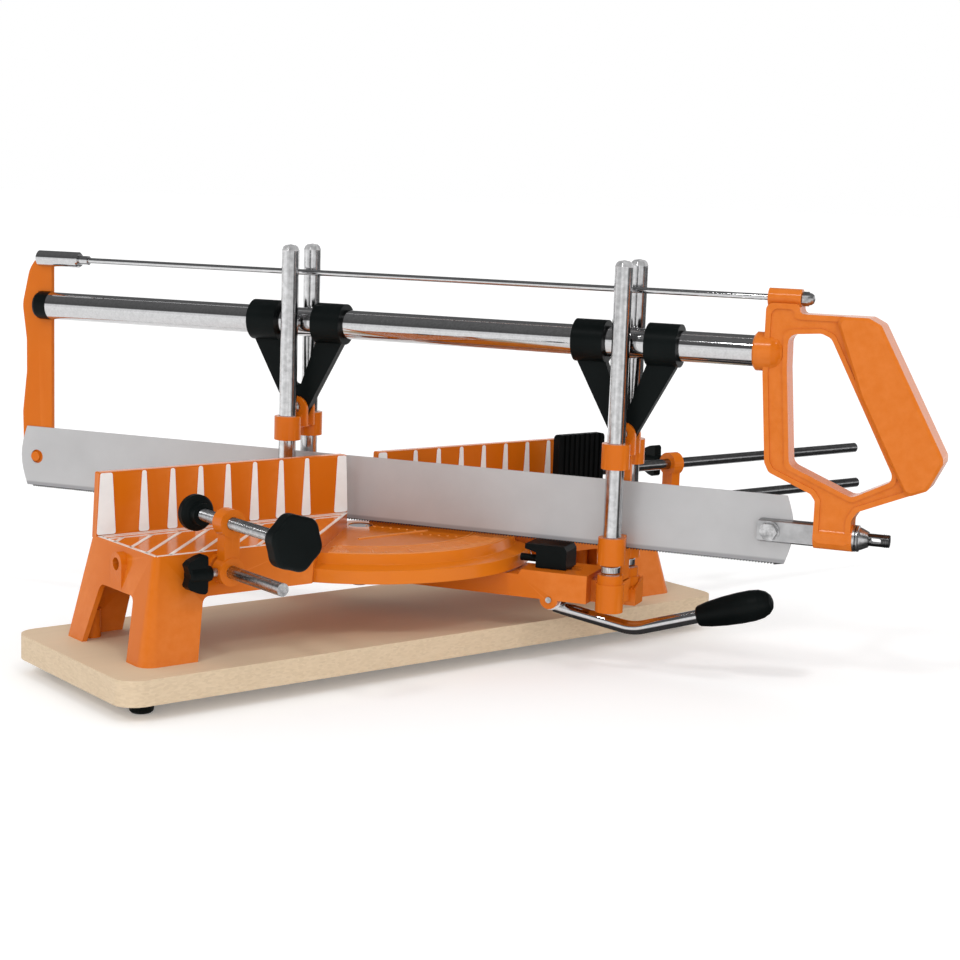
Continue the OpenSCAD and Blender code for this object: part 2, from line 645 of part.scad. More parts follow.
tip_y = blade_t / 2 + 0.1;
pin_r = 3.7;
tip_nose = 15;
tip_waist = [26, 50];
tip_hip = 80;
tip_round = 22;
module tip_arm() saw_frame() color(orange) {
    difference() {
        side_profile(tip_y, tip_y + tip_t) polygon(rounded([[tip_in, teeth_z + 8], [tip_in, rod_z + 3],
            [blade_tip + tip_nose, rod_z + 3], [blade_tip + 6.5, rod_z - 8], [blade_tip + 0.3, tube_z],
            [blade_tip + 3.8, tube_z - tip_waist[0]], [blade_tip + 3.8, tube_z - tip_waist[1]],
            [blade_tip + 0.3, tube_z - tip_hip], [blade_tip + 1.5, teeth_z + 8]], tip_round, 6));
        translate([0, 0, tube_z]) bar_x(tube_d + 2 * fix_fit, cap_s - 0.2, tip_in + 9);
    }
    translate([tip_pin[0] - 1, 0, tip_pin[1]]) bar_y(2 * pin_r, -blade_t / 2 - 1.2, tip_y + eps);
}

fork_d = 11.5;
fork_s = blade_tip + 14;
fork_in = blade_tip + 50;
rod_s = blade_tip + 38.5;
module tension_rod() saw_frame() color(steel) translate([0, 0, rod_z]) bar_x(rod_d, rod_s, bar_s + 25);

module rod_fork() saw_frame() color(steel) translate([0, 0, rod_z]) difference() {
    turn_x([[fork_s, 0], [fork_s + 0.5, 3.6], [fork_s + 2.5, fork_d / 2], [fork_in, fork_d / 2],
        [fork_in + 1, fork_d / 2 - 1], [fork_in + 1, rod_d / 2 + 1.2], [fork_in + 8.5, rod_d / 2 + 1.2],
        [fork_in + 8.5, 0]]);
    bar_x(rod_d + 2 * fix_fit, rod_s - fix_fit, fork_in + 20);
    translate([fork_s - 1, tip_y - 0.1, -20]) cube([tip_in - fork_s + 1.2, tip_t + 0.2, 23.4]);
}

module cap_nut() saw_frame() color(steel) translate([bar_s + 21.3, 0, rod_z]) difference() {
    union() {
        rotate([0, 90, 0]) cylinder(d = 9.2, h = 4, $fn = 6);
        turn_x([[3.9, 0], [3.9, 4], [5.5, 3.7], [7, 2.6], [7.8, 0]]);
    }
    bar_x(rod_d + 2 * fix_fit, -1, 3.8);
}

// handle: D-shaped casting with a thin web between raised rims, a thick grip and three sockets
// distances along the saw are counted from the front edge of the upright bar
grip_slope = tan(28.2);
grip_top_s = 73;
grip_low_s = 115.6;
handle_top = tube_z + 25.3;
handle_low = teeth_z + 52.5;
outline = [[0, rod_z - 3], [0, tube_z - 13], [4.4, handle_low + 14], [7.5, handle_low + 8],
    [35, handle_low - 3.5], [38, handle_low - 7.5], [38, strap_z - 4], [61.5, strap_z - 4],
    [61.5, strap_z + 12], [65, strap_z + 18], [95, handle_low + 0.2], [107.5, handle_low + 5.2],
    [grip_low_s, handle_low + 22], [grip_low_s, handle_low + 26], [grip_top_s, handle_top - 4],
    [65, handle_top], [21.5, handle_top],
    [21.5, rod_z - 3]];
window = [[15.4, tube_z - 9], [20.2, handle_low + 13.5], [60.8, handle_low - 3.6], [84.6, handle_low + 8.5],
    [85, handle_low + 13], [42.2, handle_top - 14], [36, handle_top - 11.4], [15, handle_top - 13]];
grip = [[44.5, handle_top], [63, handle_top - 49], [87.5, handle_low + 13.5], [95, handle_low + 0.2],
    [107.5, handle_low + 5.2], [grip_low_s, handle_low + 22], [grip_low_s, handle_low + 26],
    [grip_top_s, handle_top - 4], [65, handle_top]];
web_half = 7.4;
rim_half = 8.4;

module ridge(p, w, r) difference() {
    polygon(rounded(p, r));
    polygon(rounded(inset(p, w), r));
}

module handle() saw_frame() color(orange) translate([bar_s, 0, 0]) difference() {
    union() {
        difference() {
            union() {
                side_profile(-web_half, web_half) polygon(rounded(outline, 5));
                side_profile(-rim_half, rim_half) ridge(outline, 3.4, 4.5);
                side_profile(-rim_half, rim_half) ridge(inset(window, -3), 3.6, 5);
                // grip with a bevel all round
                hull() {
                    side_profile(2 - grip_half, grip_half - 2) polygon(rounded(grip, 4));
                    side_profile(-grip_half, grip_half) polygon(rounded(inset(grip, 1.8), 3.4));
                }
            }
            side_profile(-30, 30) polygon(rounded(window, 6));
        }
        translate([0, 0, rod_z]) bar_x(12, 0, 21);
        // tube socket, domed inside the hand opening
        translate([0, 0, tube_z]) turn_x([[-7, 0], [-7, tube_d / 2 + 1.2], [-5.8, tube_d / 2 + 2.4],
            [4.5, tube_d / 2 + 2.4], [8.5, tube_d / 2 + 1.2], [11.5, tube_d / 2 - 1.5],
            [13.6, tube_d / 2 - 5], [14.5, 0]]);
        translate([0, 0, strap_z]) bar_x(17.4, 38, strap_seat);
    }
    translate([0, 0, tube_z]) bar_x(tube_d + 2 * fix_fit, -20, tube_end - bar_s + 0.3);
    translate([0, 0, rod_z]) bar_x(rod_d + 2 * fix_fit, -9, 40);
    translate([0, 0, strap_z]) bar_x(8 + 2 * fix_fit, 20, 90);
}

// blade: bowed ends, fine teeth along its lower edge, a hole for the tip pin and one for the bolt
tooth_depth = 1.2;
end_bow = 5;
tooth_count = floor((blade_len - 4 * end_bow) / tooth_pitch);
tooth_tip = 0.3;
edge_h = blade_h - tooth_depth;
left_end = [for (i = [0:8]) [end_bow - end_bow * sin(22.5 * i), back_z - edge_h * i / 8]];
right_end = [for (p = left_end) [blade_len - p[0], p[1]]];
teeth = [for (i = [0:tooth_count - 1], k = [0, 1])
    [2 * end_bow + (i + tooth_tip * k) * tooth_pitch, teeth_z + tooth_depth * (1 - k)]];
module blade() saw_frame() color(steel) translate([blade_tip, 0, 0]) difference() {
    side_profile(-blade_t / 2, blade_t / 2)
        polygon(concat(left_end, teeth, [for (i = [8:-1:0]) right_end[i]]));
    translate([tip_pin[0] - blade_tip, 0, tip_pin[1]]) bar_y(10.2, -5, 5);
    translate([bolt_s - blade_tip, 0, strap_z]) bar_y(6 + 2 * fix_fit, -5, 5);
}

// tensioner: a slotted bar that holds the end of the blade, with a threaded stud through the handle
strap_d = 15.5;
stud_d = 8;
washer_s = bar_s + strap_seat;
nut_s = washer_s + 1.5 + slide_gap;
nut_len = 7.5;
stud_end = bar_s + stud_reach;
module blade_strap() saw_frame() color(steel) translate([0, 0, strap_z]) difference() {
    union() {
        intersection() {
            bar_x(strap_d, bar_s + 1, strap_end);
            side_profile(-4.5, 4.5) rect([bar_s + 1, -strap_d / 2], [strap_end + 9, strap_d / 2], 3.5);
        }
        bar_x(stud_d, strap_end - 1, stud_end);
    }
    translate([bar_s - 9, -blade_t / 2 - 0.1, -20])
        cube([blade_tip + blade_len + 10 - bar_s, blade_t + 0.2, 40]);
    translate([bolt_s, 0, 0]) bar_y(6 + 2 * fix_fit, -20, 20);
    // oblong hole in the stud, beside the nut
    side_profile(-20, 20) rect([nut_s + nut_len + 1.2, -1.6], [nut_s + nut_len + 8.6, 1.6], 1.5);
}

module blade_bolt() saw_frame() color(steel) translate([bolt_s, 0, strap_z]) {
    bar_y(6, -5, 11);
    bar_y(13, -5.5, -4.5);
    translate([0, -5.4, 0]) rotate([90, 0, 0]) cylinder(d = 11.5, h = 3.6, $fn = 6);
}

module blade_nut() saw_frame() color(steel) translate([bolt_s, 0, strap_z]) difference() {
    translate([0, 9.5, 0]) rotate([90, 0, 0]) cylinder(d = 11.5, h = 5, $fn = 6);
    bar_y(6 + 2 * fix_fit, 0, 20);
}

module strap_washer() saw_frame() color(steel) translate([0, 0, strap_z]) difference() {
    bar_x(17, washer_s, washer_s + 1.5);
    bar_x(stud_d + 2 * run_fit, washer_s - 5, washer_s + 5);
}

// cone-shaped nut with a flange that tightens the blade
module cone_nut() saw_frame() color(steel) translate([nut_s, 0, strap_z]) difference() {
    turn_x([[0, 0], [0, 8], [0.4, 8.4], [1.6, 8.4], [2, 7.3], [3, 7.1], [nut_len, 5], [nut_len, 0]]);
    bar_x(stud_d + 2 * run_fit, -5, 20);
}

// bracket with two bosses, pierced along Y, and the hole for its wing screw at height lock
module bracket(t, lock) difference() {
    union() {
        for (z = [0, boss_pitch]) translate([0, 0, z]) bar_y(boss_d, -t / 2, t / 2);
        translate([-5.3, -t / 2 + 0.6, 0]) cube([10.6, t - 1.2, boss_pitch]);
    }
    for (z = [0, boss_pitch]) translate([0, 0, z]) bar_y(bar_d + 2 * run_fit, -t, t);
    translate([0, 0, lock]) bar_x(screw_m + 2 * run_fit, -20, 0);
}

// wing screw: its stem lies along X and ends on the rod, its wings stand in X and Z
wing_gap = boss_d / 2 + 4;
wing_outline = [[-15.4, 0], [-2.6, 0], [-3, 5], [-3.2, 10.8], [-5, 12.2], [-9.5, 11.2], [-15, 8.8],
    [-17.4, 6.4], [-16.4, 4]];
module wing_knob() translate([-wing_gap, 0, 0]) difference() {
    union() {
        turn_x([[0, 0], [0, 4.6], [-2, 5.2], [-14.6, 5.2], [-15.6, 4.2], [-15.6, 0]]);
        both_ways() side_profile(-3.4, 3.4) polygon(rounded(wing_outline, 1.6));
    }
    bar_x(screw_m + 2 * fix_fit, -9, 1);
}
module wing_stem() bar_x(screw_m, -wing_gap - 8.5, -bar_d / 2 - 0.5);

// clamp at the left of the base
module at_clamp() base_frame() translate([-clamp_x, 0, 0]) children();
spindle_end = clamp_reach + 5;
module clamp_rod() at_clamp() color(steel) translate([0, 0, bar_z])
    bar_y(bar_d, -clamp_reach, socket_front + socket_depth - 3.2);

module clamp_bracket() at_clamp() color(orange) translate([0, -clamp_y, bar_z]) bracket(10, 0);

module clamp_spindle() at_clamp() color(steel) translate([0, 0, upper_z])
    bar_y(bar_d, -spindle_end - 8, -pad_gap - 5);

// knob with six shallow lobes
lobe = 1.4;
knob_outline = [for (a = [0:4:356]) (knob_d / 2 - lobe * (1 - cos(6 * a))) * [cos(a), sin(a)]];
module clamp_knob() at_clamp() color(black) translate([0, -spindle_end, upper_z]) difference() {
    union() {
        rotate([90, 0, 0]) linear_extrude(11) polygon(knob_outline);
        bar_y(15, -9, 2.5);
    }
    bar_y(bar_d + 2 * fix_fit, -8.2, 9);
}

// pressure pad that turns freely on the end of the spindle
module clamp_pad() at_clamp() color(black) translate([0, -pad_gap, upper_z]) difference() {
    rotate([90, 0, 0]) rotate_extrude() polygon([[0, 0], [10.6, 0], [11.5, 1], [11.5, 5], [10.4, 6.2],
        [7.4, 7.4], [7, 13], [0, 13]]);
    bar_y(bar_d + 2 * run_fit, -20, -5 + slide_gap);
}

module clamp_wing() at_clamp() color(black) translate([0, -clamp_y, bar_z]) wing_knob();
module clamp_wing_stem() at_clamp() color(steel) translate([0, -clamp_y, bar_z]) wing_stem();

// length stop at the right of the base
module at_stop() base_frame() translate([0, -stop_y, 0]) children();
module stop_rail() at_stop() color(steel) translate([0, 0, bar_z])
    bar_x(bar_d, socket_end - socket_depth + 3.2, rail_end);

module stop_bracket() at_stop() color(orange) translate([stop_x, 0, bar_z]) rotate([0, 0, -90])
    bracket(9.5, boss_pitch);

module stop_rod() at_stop() color(steel) translate([0, 0, upper_z]) bar_x(bar_d, block_end - 27, stop_end);

// stop block on the end of the stop rod: a ribbed plate in front of a round boss
block_end = block_x + block_w;
block_z = upper_z - 15;
block_front = 12;
plate_t = 6.5;
groove = 2.2;
groove_pitch = 4.8;
groove_count = floor((block_w - 4) / groove_pitch);
groove_start = block_x + (block_w - (groove_count - 1) * groove_pitch - groove) / 2;
module stop_block() at_stop() color(black) difference() {
    union() {
        side_profile(-block_front, plate_t - block_front)
            rect([block_x, block_z], [block_end, block_z + block_h], 3);
        translate([0, 0, upper_z]) bar_x(bar_d + 8, block_end - 30, block_end);
        translate([block_end - 30, -block_front + 1, upper_z - 6]) cube([30, block_front - 1, 12]);
    }
    for (i = [0:groove_count - 1]) translate([groove_start + groove_pitch * i, -block_front - 1, block_z - 1])
        cube([groove, 2.2, block_h + 2]);
    translate([0, 0, upper_z]) bar_x(bar_d + 2 * fix_fit, block_end - 27.2, block_end + 9);
}

module stop_wing() at_stop() color(black) translate([stop_x, 0, upper_z]) rotate([0, 0, -90]) wing_knob();
module stop_wing_stem() at_stop() color(steel) translate([stop_x, 0, upper_z]) rotate([0, 0, -90])
    wing_stem();

board();
rubber_feet();
left_table();
right_table();
scale_plate();
base_screws();
pivot_bolt();
pivot_nut();
swivel_arm();
guide_posts();
blade_guides();
index_latch();
latch_pin();
lock_lever();
lever_grip();
lever_pin();
rear_slider();
front_slider();
rear_v_guide();
front_v_guide();
rear_guide_screw();
front_guide_screw();
frame_tube();
tube_cap();
tip_arm();
tension_rod();
rod_fork();
cap_nut();
handle();
blade();
blade_strap();
blade_bolt();
blade_nut();
strap_washer();
cone_nut();
clamp_rod();
clamp_bracket();
clamp_spindle();
clamp_knob();
clamp_pad();
clamp_wing();
clamp_wing_stem();
stop_rail();
stop_bracket();
stop_rod();
stop_block();
stop_wing();
stop_wing_stem();
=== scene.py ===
import json
import math

import bmesh
import bpy
from mathutils import Matrix, Vector


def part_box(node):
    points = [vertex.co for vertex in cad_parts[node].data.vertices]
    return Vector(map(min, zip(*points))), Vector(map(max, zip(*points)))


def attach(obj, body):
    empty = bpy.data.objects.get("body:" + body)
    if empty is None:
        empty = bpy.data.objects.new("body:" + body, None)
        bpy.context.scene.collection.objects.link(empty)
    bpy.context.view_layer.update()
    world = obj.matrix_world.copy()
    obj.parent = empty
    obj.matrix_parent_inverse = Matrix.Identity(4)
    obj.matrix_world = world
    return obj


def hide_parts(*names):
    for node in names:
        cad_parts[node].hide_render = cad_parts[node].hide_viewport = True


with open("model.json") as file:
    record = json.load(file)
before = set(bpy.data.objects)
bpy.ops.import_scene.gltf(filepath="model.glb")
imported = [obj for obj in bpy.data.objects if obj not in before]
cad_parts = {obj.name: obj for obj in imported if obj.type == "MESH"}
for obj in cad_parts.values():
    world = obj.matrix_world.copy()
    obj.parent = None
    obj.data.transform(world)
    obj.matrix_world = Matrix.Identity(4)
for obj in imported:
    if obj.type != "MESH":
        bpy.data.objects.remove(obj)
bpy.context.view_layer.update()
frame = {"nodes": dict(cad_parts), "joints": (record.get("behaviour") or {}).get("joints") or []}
nodes = frame["nodes"]
joints = {j["name"]: j for j in frame["joints"]}
MM = 0.001

# the frame of the CAD modules: pivot on the bench, and the line from the saw's tip to its handle
pivot = Vector(joints["arm_swivel"]["pos_m"])
pivot.z = 0
along = Vector(joints["saw_stroke"]["axis"])
across = Vector((-along.y, along.x, 0))
up = Vector((0, 0, 1))


def base_point(x, y, z):
    return pivot + Vector((x, y, z)) * MM


def saw_point(s, off, z):
    return pivot + (along * s + across * off + up * z) * MM


# heights and sizes shared with the solids, in millimetres
fence_rise = 40.6
teeth_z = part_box("blade")[0].z / MM
table_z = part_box("left_table")[1].z / MM - fence_rise
disc_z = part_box("scale_plate")[1].z / MM


# materials
def tree(name):
    mat = bpy.data.materials.new(name)
    mat.use_nodes = True
    nt = mat.node_tree
    return mat, nt, nt.nodes["Principled BSDF"]


def node(nt, kind, values=None, **props):
    made = nt.nodes.new(kind)
    for key, value in props.items():
        setattr(made, key, value)
    for key, value in (values or {}).items():
        if isinstance(value, bpy.types.NodeSocket):
            nt.links.new(value, made.inputs[key])
        else:
            made.inputs[key].default_value = value
    return made


def coords(nt, stretch=(1, 1, 1), turn=(0, 0, 0)):
    place = node(nt, "ShaderNodeTexCoord")
    mapped = node(nt, "ShaderNodeMapping", {"Vector": place.outputs["Object"]})
    mapped.inputs["Scale"].default_value = stretch
    mapped.inputs["Rotation"].default_value = turn
    return mapped.outputs["Vector"]


def noise(nt, vector, scale, detail=3.0, rough=0.55):
    made = node(nt, "ShaderNodeTexNoise", {"Vector": vector, "Scale": scale, "Detail": detail})
    made.inputs["Roughness"].default_value = rough
    return made.outputs["Fac"]


def ramp(nt, value, stops):
    made = node(nt, "ShaderNodeValToRGB", {"Fac": value})
    line = made.color_ramp
    while len(line.elements) < len(stops):
        line.elements.new(0.5)
    for element, (place, colour) in zip(line.elements, stops):
        element.position = place
        element.color = (*colour, 1)
    return made.outputs["Color"]


def spread(nt, value, low, high):
    made = node(nt, "ShaderNodeMapRange", {"Value": value, "To Min": low, "To Max": high})
    return made.outputs["Result"]


def maths(nt, kind, a, b=0.0):
    made = node(nt, "ShaderNodeMath", {0: a, 1: b}, operation=kind)
    return made.outputs["Value"]


def blend_colour(nt, factor, a, b):
    made = node(nt, "ShaderNodeMix", data_type="RGBA")
    for key, value in ((0, factor), (6, a), (7, b)):
        if isinstance(value, bpy.types.NodeSocket):
            nt.links.new(value, made.inputs[key])
        else:
            made.inputs[key].default_value = value if key == 0 else (*value, 1)
    return made.outputs[2]


def bump(nt, shader, height, strength, distance=0.001):
    made = node(nt, "ShaderNodeBump", {"Height": height, "Strength": strength, "Distance": distance})
    nt.links.new(made.outputs["Normal"], shader.inputs["Normal"])


def plug(nt, shader, **sockets):
    for key, value in sockets.items():
        key = key.replace("_", " ")
        if isinstance(value, bpy.types.NodeSocket):
            nt.links.new(value, shader.inputs[key])
        else:
            shader.inputs[key].default_value = value


# paint on a casting: soft orange peel, slightly paler along the edges, partly wear and partly a painted
# highlight
def paint_colour(nt, dark, plain, worn_and_highlit):
    place = coords(nt)
    body = ramp(nt, noise(nt, place, 30, 2), [(0.25, dark), (0.75, plain)])
    edge = node(nt, "ShaderNodeNewGeometry").outputs["Pointiness"]
    scuff = maths(nt, "MULTIPLY", noise(nt, place, 160, 4), 1.2)
    # paler edges: partly worn paint, partly a painted highlight along the edges
    edge_wear_and_highlight = node(nt, "ShaderNodeMapRange", {"Value": edge, "From Min": 0.52, "From Max": 0.62})
    return blend_colour(nt, maths(nt, "MULTIPLY", edge_wear_and_highlight.outputs["Result"], scuff), body, worn_and_highlit)


def paint_skin(nt, shader, gloss=0.18):
    place = coords(nt)
    peel = noise(nt, place, 420, 2, 0.5)
    lump = noise(nt, place, 70, 2, 0.5)
    height = maths(nt, "ADD", maths(nt, "MULTIPLY", peel, 0.35), lump)
    bump(nt, shader, height, 0.12, 0.0009)
    plug(nt, shader, Roughness=spread(nt, noise(nt, place, 45), 0.14, 0.22), Specular_IOR_Level=gloss)


# dark, plain and edge tones of each orange; the edge tone is partly wear, partly a painted highlight
ORANGE = ((0.625, 0.140, 0.005), (0.645, 0.150, 0.006), (0.73, 0.20, 0.03))
# the scale plate's orange is paler than the casting's: painted light, standing for its glossy sheen and
# lifting the shade it lies in
PLATE_LIGHTENED = ((0.68, 0.170, 0.008), (0.70, 0.182, 0.011), (0.76, 0.24, 0.04))
# paler still for the raised marks on the plate: a painted highlight
MARK_HIGHLIGHT_TINTS = ((0.76, 0.25, 0.04), (0.80, 0.29, 0.06), (0.84, 0.34, 0.10))


def orange_paint(name, tints, gloss):
    mat, nt, shader = tree(name)
    plug(nt, shader, Base_Color=paint_colour(nt, *tints))
    paint_skin(nt, shader, gloss)
    return mat


# the tables carry white paint on the raised ribs of their fences
def table_paint():
    mat, nt, shader = tree("table_paint")
    place = node(nt, "ShaderNodeTexCoord").outputs["Object"]
    split = node(nt, "ShaderNodeSeparateXYZ", {"Vector": place})
    front = maths(nt, "LESS_THAN", split.outputs["Y"], pivot.y - 0.3 * MM)
    near = maths(nt, "GREATER_THAN", split.outputs["Y"], pivot.y - 1.5 * MM)
    high = maths(nt, "GREATER_THAN", split.outputs["Z"], (table_z + 0.35) * MM)
    mask = maths(nt, "MULTIPLY", maths(nt, "MULTIPLY", front, near), high)
    white = ramp(nt, noise(nt, coords(nt), 90, 3), [(0.3, (0.84, 0.84, 0.83)), (0.7, (0.90, 0.90, 0.89))])
    plug(nt, shader, Base_Color=blend_colour(nt, mask, paint_colour(nt, *ORANGE), white))
    paint_skin(nt, shader)
    return mat


def white_paint():
    mat, nt, shader = tree("white_paint")
    plug(nt, shader, Base_Color=paint_colour(nt, (0.84, 0.84, 0.83), (0.90, 0.90, 0.89), (0.82, 0.7, 0.6)))
    paint_skin(nt, shader)
    return mat


# metal with a fine grain that a stretch draws out into lines, dull above a height where one is given
def metal(name, dark, bright, rough, stretch, turn=(0, 0, 0), strength=0.03, grain=900, dull_over=None):
    mat, nt, shader = tree(name)
    lines = noise(nt, coords(nt, stretch, turn), grain, 2)
    smudge = noise(nt, coords(nt), 260, 4)
    mixed = maths(nt, "ADD", maths(nt, "MULTIPLY", lines, 0.6), maths(nt, "MULTIPLY", smudge, 0.4))
    plug(nt, shader, Base_Color=ramp(nt, mixed, [(0.35, dark), (0.62, bright)]), Metallic=1.0)
    plug(nt, shader, Roughness=spread(nt, mixed, rough[0], rough[1]))
    bump(nt, shader, lines, strength, 0.0004)
    if dull_over:
        place = node(nt, "ShaderNodeTexCoord").outputs["Object"]
        height = node(nt, "ShaderNodeSeparateXYZ", {"Vector": place}).outputs["Z"]
        plug(nt, shader, Metallic=spread(nt, maths(nt, "GREATER_THAN", height, dull_over), 1.0, 0.3))
    return mat


saw_turn = (0, 0, -math.atan2(along.y, along.x))


# ground steel, darker along its lower edge, with the teeth coloured near black as painted shade for their
# gullets
def blade_steel():
    mat, nt, shader = tree("blade_steel")
    lines = noise(nt, coords(nt, (0.02, 1, 1), saw_turn), 1400, 3)
    cloud = noise(nt, coords(nt, (0.35, 1, 1), saw_turn), 26, 4)
    split = node(nt, "ShaderNodeSeparateXYZ", {"Vector": node(nt, "ShaderNodeTexCoord").outputs["Object"]})
    band = node(nt, "ShaderNodeMapRange", {"Value": split.outputs["Z"], "From Min": (teeth_z + 3.2) * MM,
                                           "From Max": (teeth_z + 4.4) * MM})
    body = ramp(nt, cloud, [(0.25, (0.49, 0.49, 0.495)), (0.7, (0.55, 0.55, 0.555))])
    steel = blend_colour(nt, band.outputs["Result"], (0.34, 0.34, 0.35), body)
    # painted shade: the teeth are coloured near black, standing in for the shade in their gullets
    teeth_painted_shade = maths(nt, "LESS_THAN", split.outputs["Z"], (teeth_z + 1.3) * MM)
    plug(nt, shader, Base_Color=blend_colour(nt, teeth_painted_shade, steel, (0.03, 0.03, 0.03)), Metallic=0.4)
    plug(nt, shader, Roughness=spread(nt, lines, 0.42, 0.56))
    bump(nt, shader, lines, 0.05, 0.0003)
    return mat


def plastic(name, tint, rough, grain, strength):
    mat, nt, shader = tree(name)
    place = coords(nt)
    cloud = noise(nt, place, 30, 3)
    pale = tuple(c * 1.6 + 0.001 for c in tint)
    plug(nt, shader, Base_Color=ramp(nt, cloud, [(0.3, tint), (0.75, pale)]))
    plug(nt, shader, Roughness=spread(nt, cloud, rough[0], rough[1]), Specular_IOR_Level=0.08)
    bump(nt, shader, noise(nt, place, grain, 2), strength, 0.0005)
    return mat


# pale pressed board: long faint grain on its faces, fine speckle on its edges
def board_wood():
    mat, nt, shader = tree("board_wood")
    grain = noise(nt, coords(nt, (0.06, 1, 1)), 260, 5, 0.6)
    cloud = noise(nt, coords(nt, (0.3, 1, 1)), 9, 4)
    chips = node(nt, "ShaderNodeTexVoronoi", {"Vector": coords(nt, (0.5, 0.5, 1.4)), "Scale": 700.0})
    mixed = maths(nt, "ADD", maths(nt, "MULTIPLY", grain, 0.5), maths(nt, "MULTIPLY", cloud, 0.5))
    face = ramp(nt, mixed, [(0.3, (0.70, 0.54, 0.365)), (0.55, (0.73, 0.57, 0.39)),
                            (0.75, (0.76, 0.60, 0.42))])
    edge = ramp(nt, chips.outputs["Color"], [(0.1, (0.64, 0.495, 0.335)), (0.5, (0.69, 0.54, 0.37)),
                                             (0.9, (0.72, 0.57, 0.40))])
    facing = node(nt, "ShaderNodeNewGeometry").outputs["True Normal"]
    normal = node(nt, "ShaderNodeSeparateXYZ", {"Vector": facing})
    flat = maths(nt, "GREATER_THAN", maths(nt, "ABSOLUTE", normal.outputs["Z"]), 0.8)
    plug(nt, shader, Base_Color=blend_colour(nt, flat, edge, face))
    plug(nt, shader, Roughness=spread(nt, grain, 0.5, 0.64), Specular_IOR_Level=0.3)
    bump(nt, shader, grain, 0.1, 0.0005)
    return mat


# zinc plated bar whose threaded stud, beyond the handle, has gone dark
def strap_steel(stud_from):
    mat, nt, shader = tree("strap_steel")
    place = node(nt, "ShaderNodeTexCoord").outputs["Object"]
    away = node(nt, "ShaderNodeVectorMath", {0: place, 1: pivot}, operation="SUBTRACT")
    run = node(nt, "ShaderNodeVectorMath", {0: away.outputs["Vector"], 1: along}, operation="DOT_PRODUCT")
    stud = maths(nt, "GREATER_THAN", run.outputs["Value"], stud_from * MM)
    cloud = noise(nt, coords(nt, (0.3, 1, 1), saw_turn), 120, 3)
    bar = ramp(nt, cloud, [(0.3, (0.36, 0.36, 0.365)), (0.7, (0.52, 0.52, 0.525))])
    plug(nt, shader, Base_Color=blend_colour(nt, stud, bar, (0.09, 0.09, 0.09)), Metallic=1.0)
    plug(nt, shader, Roughness=spread(nt, cloud, 0.26, 0.38))
    bump(nt, shader, noise(nt, coords(nt), 400, 2), 0.05, 0.0004)
    return mat


def grey(level):
    return (level, level, level * 1.01)


ORANGE_MAT = orange_paint("orange_paint", ORANGE, 0.18)
# the scale plate takes the paler orange, painted light for its sheen and shade
PLATE_LIGHTENED_MAT = orange_paint("plate_paint_lightened", PLATE_LIGHTENED, 0.25)
# the raised marks take the paler orange, a painted highlight
MARK_HIGHLIGHT_MAT = orange_paint("mark_paint_highlight", MARK_HIGHLIGHT_TINTS, 0.25)
TABLE_MAT = table_paint()
WHITE_MAT = white_paint()
dome_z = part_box("guide_posts")[1].z - 4.5 * MM
POST_MAT = metal("post_zinc", grey(0.36), grey(0.72), (0.10, 0.2), (1, 1, 0.02), strength=0.08, grain=300,
                 dull_over=dome_z)
TUBE_MAT = metal("tube_chrome", grey(0.54), grey(0.64), (0.04, 0.08), (0.03, 1, 1), saw_turn, strength=0.015)
ROD_MAT = metal("rod_zinc", grey(0.16), grey(0.42), (0.16, 0.3), (0.02, 1, 1), strength=0.05, grain=420)
CLAMP_MAT = metal("clamp_zinc", grey(0.26), grey(0.62), (0.2, 0.34), (1, 0.03, 1), strength=0.05, grain=420)
ZINC_MAT = metal("zinc_steel", grey(0.30), grey(0.62), (0.24, 0.4), (1, 1, 1), strength=0.06, grain=260)
BLADE_MAT = blade_steel()
STRAP_MAT = strap_steel(352.5)
DARK_MAT = metal("dark_steel", grey(0.06), grey(0.2), (0.25, 0.4), (1, 1, 1), strength=0.06, grain=260)
PLASTIC_MAT = plastic("black_plastic", (0.0026, 0.0042, 0.0042), (0.32, 0.46), 900, 0.06)
BLOCK_MAT = plastic("block_plastic", (0.0026, 0.0034, 0.0036), (0.45, 0.6), 700, 0.08)
RUBBER_MAT = plastic("black_rubber", (0.0024, 0.0036, 0.0036), (0.34, 0.48), 600, 0.08)
BOARD_MAT = board_wood()

finishes = {
    BOARD_MAT: ["board"],
    RUBBER_MAT: ["rubber_feet", "lever_grip"],
    TABLE_MAT: ["left_table", "right_table"],
    PLATE_LIGHTENED_MAT: ["scale_plate"],
    ORANGE_MAT: ["swivel_arm", "blade_guides", "rear_slider", "front_slider", "tip_arm", "handle",
                 "clamp_bracket", "stop_bracket"],
    POST_MAT: ["guide_posts"],
    TUBE_MAT: ["frame_tube", "tension_rod", "rod_fork", "lock_lever"],
    ROD_MAT: ["stop_rail", "stop_rod"],
    CLAMP_MAT: ["clamp_rod", "clamp_spindle"],
    ZINC_MAT: ["base_screws", "pivot_bolt", "pivot_nut", "lever_pin", "rear_guide_screw",
               "front_guide_screw", "cap_nut", "blade_bolt", "blade_nut", "strap_washer", "cone_nut",
               "clamp_wing_stem", "stop_wing_stem"],
    BLADE_MAT: ["blade"],
    STRAP_MAT: ["blade_strap"],
    PLASTIC_MAT: ["index_latch", "latch_pin", "rear_v_guide", "front_v_guide", "tube_cap", "clamp_knob",
                  "clamp_pad", "clamp_wing", "stop_wing"],
    BLOCK_MAT: ["stop_block"],
}
for material, names in finishes.items():
    for name in names:
        mesh = nodes[name].data
        mesh.materials.clear()
        mesh.materials.append(material)


